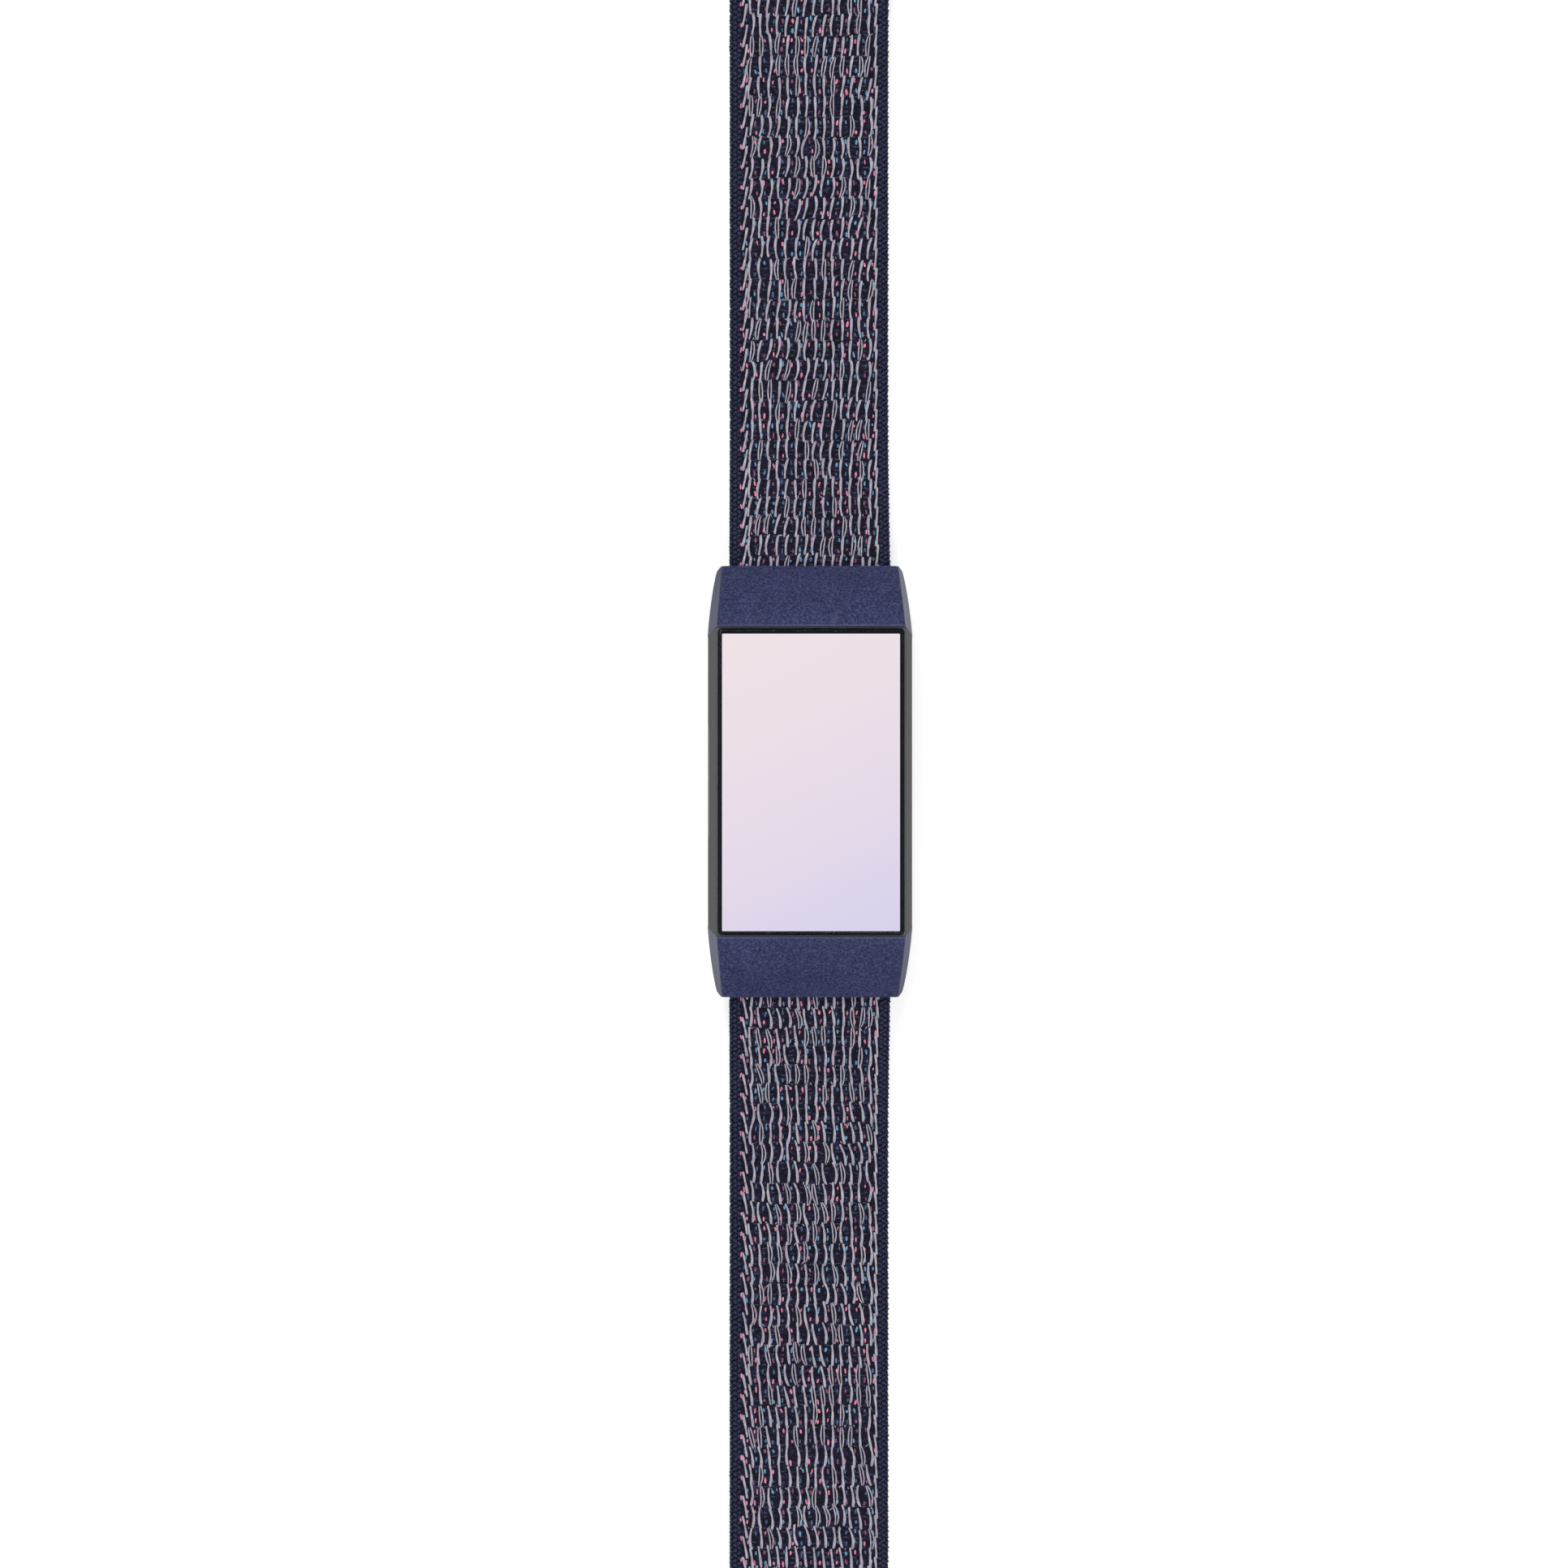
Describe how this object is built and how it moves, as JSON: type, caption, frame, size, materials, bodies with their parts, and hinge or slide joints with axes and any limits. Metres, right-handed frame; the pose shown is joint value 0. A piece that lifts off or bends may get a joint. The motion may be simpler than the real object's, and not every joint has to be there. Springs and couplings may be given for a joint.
{
  "type": "fitness tracker band",
  "caption": "Slim wrist fitness tracker with a pale display, detachable navy connectors and a woven hook-and-loop band that folds back through a metal ring, laid open and flat.",
  "frame": {"origin": "middle of the raised sensor window's resting face, under the tracker", "axes": "+Z out of the display, +Y along the band towards the buckle ring, +X to the display's right"},
  "size_m": [0.023, 0.2783, 0.0119],
  "materials": {
    "case": "matt grey bead-blasted coating",
    "rear": "fine matt texture",
    "seal": "matt",
    "window": "dark tinted, polished",
    "contacts": "gold plated",
    "membrane": "fine mesh",
    "glass": "polished",
    "border": "black print",
    "display": "lit, pale pink at the top to pale lavender below",
    "foam": "soft foam",
    "flex": "amber film",
    "chassis": "moulded",
    "battery": "laminated foil",
    "board": "solder mask",
    "shield": "tinned can",
    "screw": "black zinc",
    "motor": "satin",
    "weight": "sintered",
    "emitter": "clear package",
    "detector": "dark package",
    "connector": "soft-touch navy, fine grain",
    "steel": "satin",
    "webbing": "navy woven nylon with lilac-grey cords and pink and blue flecks",
    "thread": "waxed navy thread",
    "ring": "satin, softly polished",
    "hook": "moulded hook tape",
    "tab": "soft matt"
  },
  "bodies": {
    "tracker": {"case_frame": "case", "rear_cover": "rear", "rear_seal": "seal", "sensor_window": "window", "charge_contacts": "contacts", "vent_membrane": "membrane", "cover_glass": "glass", "glass_border": "border", "display_panel": "display", "display_backing": "foam", "display_cable": "flex", "inner_chassis": "chassis", "battery_cell": "battery", "main_board": "board", "board_chips": "shield", "board_screws": "screw", "antenna_strip": "contacts", "touch_sensor": "flex", "altimeter": "shield", "vibration_motor_can": "motor", "sensor_board": "board", "sensor_leds": "emitter", "photodiodes": "detector", "light_baffles": "border"},
    "motor_weight": {"vibration_motor_rotor": "weight"},
    "upper_connector": {"upper_connector": "connector", "upper_strap_pin": "steel", "upper_lever_pin": "steel", "upper_lever_spring": "steel"},
    "upper_lever": {"upper_release_lever": "steel"},
    "upper_band_1": {"upper_strap_1": "webbing"},
    "upper_band_2": {"upper_strap_2": "webbing"},
    "upper_band_3": {"upper_strap_3": "webbing"},
    "upper_band_4": {"upper_strap_4": "webbing"},
    "upper_band_5": {"upper_strap_5": "webbing", "ring_stitching": "thread"},
    "lower_connector": {"lower_connector": "connector", "lower_strap_pin": "steel", "lower_lever_pin": "steel", "lower_lever_spring": "steel"},
    "lower_lever": {"lower_release_lever": "steel"},
    "lower_band_1": {"lower_strap_1": "webbing"},
    "lower_band_2": {"lower_strap_2": "webbing"},
    "lower_band_3": {"lower_strap_3": "webbing"},
    "lower_band_4": {"lower_strap_4": "webbing"},
    "lower_band_5": {"lower_strap_5": "webbing"},
    "ring": {"buckle_ring": "ring"},
    "tail_1": {"tail_1": "webbing"},
    "tail_2": {"tail_2": "webbing"},
    "tail_3": {"tail_3": "webbing", "hook_patch_inner": "hook"},
    "tail_4": {"tail_4": "webbing", "hook_patch_outer": "hook", "patch_stitching": "thread", "tip_tab": "tab"}
  },
  "joints": [
    {"name": "motor_spin", "type": "hinge", "parent": "tracker", "child": "motor_weight", "pos_m": [-0.0036, 0.0074, 0.0074], "axis": [0, 0, 1], "continuous": true},
    {"name": "upper_connector_slide", "type": "slide", "parent": "tracker", "child": "upper_connector", "axis": [0, 0, 1], "range_m": [-0.008, 0]},
    {"name": "upper_lever_press", "type": "hinge", "parent": "upper_connector", "child": "upper_lever", "pos_m": [0, 0.0175, 0.00295], "axis": [-1, 0, 0], "range_deg": [0, 16], "deforming": ["upper_lever_spring"]},
    {"name": "upper_band_hinge", "type": "hinge", "parent": "upper_connector", "child": "upper_band_1", "pos_m": [0, 0.0213, 0.0039], "axis": [-1, 0, 0], "range_deg": [0, 49]},
    {"name": "upper_curl_1", "type": "hinge", "parent": "upper_band_1", "child": "upper_band_2", "pos_m": [0, 0.0369, 0.00105], "axis": [-1, 0, 0], "range_deg": [-10, 28]},
    {"name": "upper_curl_2", "type": "hinge", "parent": "upper_band_2", "child": "upper_band_3", "pos_m": [0, 0.0525, 0.00105], "axis": [-1, 0, 0], "range_deg": [-10, 28]},
    {"name": "upper_curl_3", "type": "hinge", "parent": "upper_band_3", "child": "upper_band_4", "pos_m": [0, 0.0681, 0.00105], "axis": [-1, 0, 0], "range_deg": [-10, 28]},
    {"name": "upper_curl_4", "type": "hinge", "parent": "upper_band_4", "child": "upper_band_5", "pos_m": [0, 0.0837, 0.00105], "axis": [-1, 0, 0], "range_deg": [-10, 28]},
    {"name": "lower_connector_slide", "type": "slide", "parent": "tracker", "child": "lower_connector", "axis": [0, 0, 1], "range_m": [-0.008, 0]},
    {"name": "lower_lever_press", "type": "hinge", "parent": "lower_connector", "child": "lower_lever", "pos_m": [0, -0.0175, 0.00295], "axis": [1, 0, 0], "range_deg": [0, 16], "deforming": ["lower_lever_spring"]},
    {"name": "lower_band_hinge", "type": "hinge", "parent": "lower_connector", "child": "lower_band_1", "pos_m": [0, -0.0213, 0.0039], "axis": [1, 0, 0], "range_deg": [0, 49]},
    {"name": "lower_curl_1", "type": "hinge", "parent": "lower_band_1", "child": "lower_band_2", "pos_m": [0, -0.0369, 0.00105], "axis": [1, 0, 0], "range_deg": [-10, 28]},
    {"name": "lower_curl_2", "type": "hinge", "parent": "lower_band_2", "child": "lower_band_3", "pos_m": [0, -0.0525, 0.00105], "axis": [1, 0, 0], "range_deg": [-10, 28]},
    {"name": "lower_curl_3", "type": "hinge", "parent": "lower_band_3", "child": "lower_band_4", "pos_m": [0, -0.0681, 0.00105], "axis": [1, 0, 0], "range_deg": [-10, 28]},
    {"name": "lower_curl_4", "type": "hinge", "parent": "lower_band_4", "child": "lower_band_5", "pos_m": [0, -0.0837, 0.00105], "axis": [1, 0, 0], "range_deg": [-10, 28]},
    {"name": "ring_hinge", "type": "hinge", "parent": "upper_band_5", "child": "ring", "pos_m": [0, 0.0993, 0.00205], "axis": [-1, 0, 0], "range_deg": [-80, 11.5]},
    {"name": "tail_fold", "type": "hinge", "parent": "lower_band_5", "child": "tail_1", "pos_m": [0, -0.0993, 0.00315], "axis": [-1, 0, 0], "range_deg": [0, 176]},
    {"name": "tail_curl_1", "type": "hinge", "parent": "tail_1", "child": "tail_2", "pos_m": [0, -0.1159, 0.00105], "axis": [-1, 0, 0], "range_deg": [-10, 28]},
    {"name": "tail_curl_2", "type": "hinge", "parent": "tail_2", "child": "tail_3", "pos_m": [0, -0.1335, 0.00105], "axis": [-1, 0, 0], "range_deg": [-10, 28]},
    {"name": "tail_curl_3", "type": "hinge", "parent": "tail_3", "child": "tail_4", "pos_m": [0, -0.1511, 0.00105], "axis": [-1, 0, 0], "range_deg": [-10, 28]}
  ],
  "couplings": [
    {"joint": "upper_curl_2", "follows": "upper_curl_1", "ratio": 1},
    {"joint": "upper_curl_3", "follows": "upper_curl_1", "ratio": 1},
    {"joint": "upper_curl_4", "follows": "upper_curl_1", "ratio": 1},
    {"joint": "lower_curl_2", "follows": "lower_curl_1", "ratio": 1},
    {"joint": "lower_curl_3", "follows": "lower_curl_1", "ratio": 1},
    {"joint": "lower_curl_4", "follows": "lower_curl_1", "ratio": 1},
    {"joint": "tail_curl_2", "follows": "tail_curl_1", "ratio": 1},
    {"joint": "tail_curl_3", "follows": "tail_curl_1", "ratio": 1}
  ]
}
